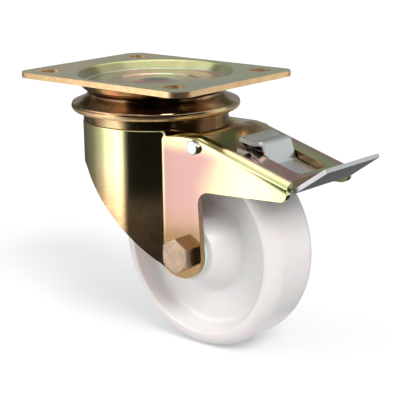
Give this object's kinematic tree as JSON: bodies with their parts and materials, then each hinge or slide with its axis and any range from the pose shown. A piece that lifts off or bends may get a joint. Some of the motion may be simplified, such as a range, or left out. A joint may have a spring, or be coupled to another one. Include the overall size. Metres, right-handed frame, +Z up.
{
  "type": "heavy duty braked castor",
  "caption": "Heavy duty swivel castor with a pressed steel fork, a nylon wheel, a bolt-on top plate and a foot brake pedal with a release tab.",
  "frame": {"origin": "on the swivel axis, in the mounting face of the top plate", "axes": "+Z up, out of the mounting face; +X along the trail, from the swivel axis towards the wheel axle and the brake pedal; Y along the wheel axle"},
  "size_m": [0.2215, 0.11, 0.166],
  "materials": {
    "yellow_zinc": "pressed steel, yellow zinc passivate with pink and green sheen",
    "clear_zinc": "clear zinc plate, satin",
    "nylon": "off-white cast nylon, semi-gloss",
    "bearing_steel": "hardened and ground",
    "seal": "matt black",
    "spring_black": "black oiled spring wire",
    "cage_plastic": "moulded"
  },
  "bodies": {
    "plate_body": {"top_plate": "yellow_zinc", "king_pin": "yellow_zinc", "king_nut": "yellow_zinc", "lock_disc": "yellow_zinc", "upper_race": "yellow_zinc", "swivel_ring": "yellow_zinc"},
    "fork_body": {"lower_race": "yellow_zinc", "dust_seal": "seal", "upper_balls": "bearing_steel", "lower_balls": "bearing_steel", "fork": "yellow_zinc", "axle_sleeve": "bearing_steel", "hub_seals": "nylon", "axle_bolt": "yellow_zinc", "axle_washer": "yellow_zinc", "axle_nut": "yellow_zinc", "brake_rivets": "clear_zinc"},
    "wheel_body": {"wheel": "nylon", "rollers": "bearing_steel", "roller_cage": "cage_plastic"},
    "lever_body": {"brake_lever": "clear_zinc", "brake_shoe": "clear_zinc", "shoe_rivets": "clear_zinc", "pedal_pin": "clear_zinc", "pin_clips": "clear_zinc"},
    "pedal_body": {"brake_pedal": "clear_zinc", "pedal_spring": "spring_black"}
  },
  "joints": [
    {"name": "swivel", "type": "hinge", "parent": "plate_body", "child": "fork_body", "pos_m": [0, 0, 0], "axis": [0, 0, 1], "continuous": true},
    {"name": "wheel_spin", "type": "hinge", "parent": "fork_body", "child": "wheel_body", "pos_m": [0.0494, 0, -0.1035], "axis": [0, 1, 0], "continuous": true},
    {"name": "lever_pivot", "type": "hinge", "parent": "fork_body", "child": "lever_body", "pos_m": [0.0602, 0, -0.036], "axis": [0, 1, 0], "range_deg": [0, 2.06]},
    {"name": "pedal_pivot", "type": "hinge", "parent": "lever_body", "child": "pedal_body", "pos_m": [0.114, 0, -0.0552], "axis": [0, 1, 0], "range_deg": [0, 40]}
  ],
  "couplings": [
    {"joint": "lever_pivot", "follows": "pedal_pivot", "ratio": 0.0515}
  ]
}
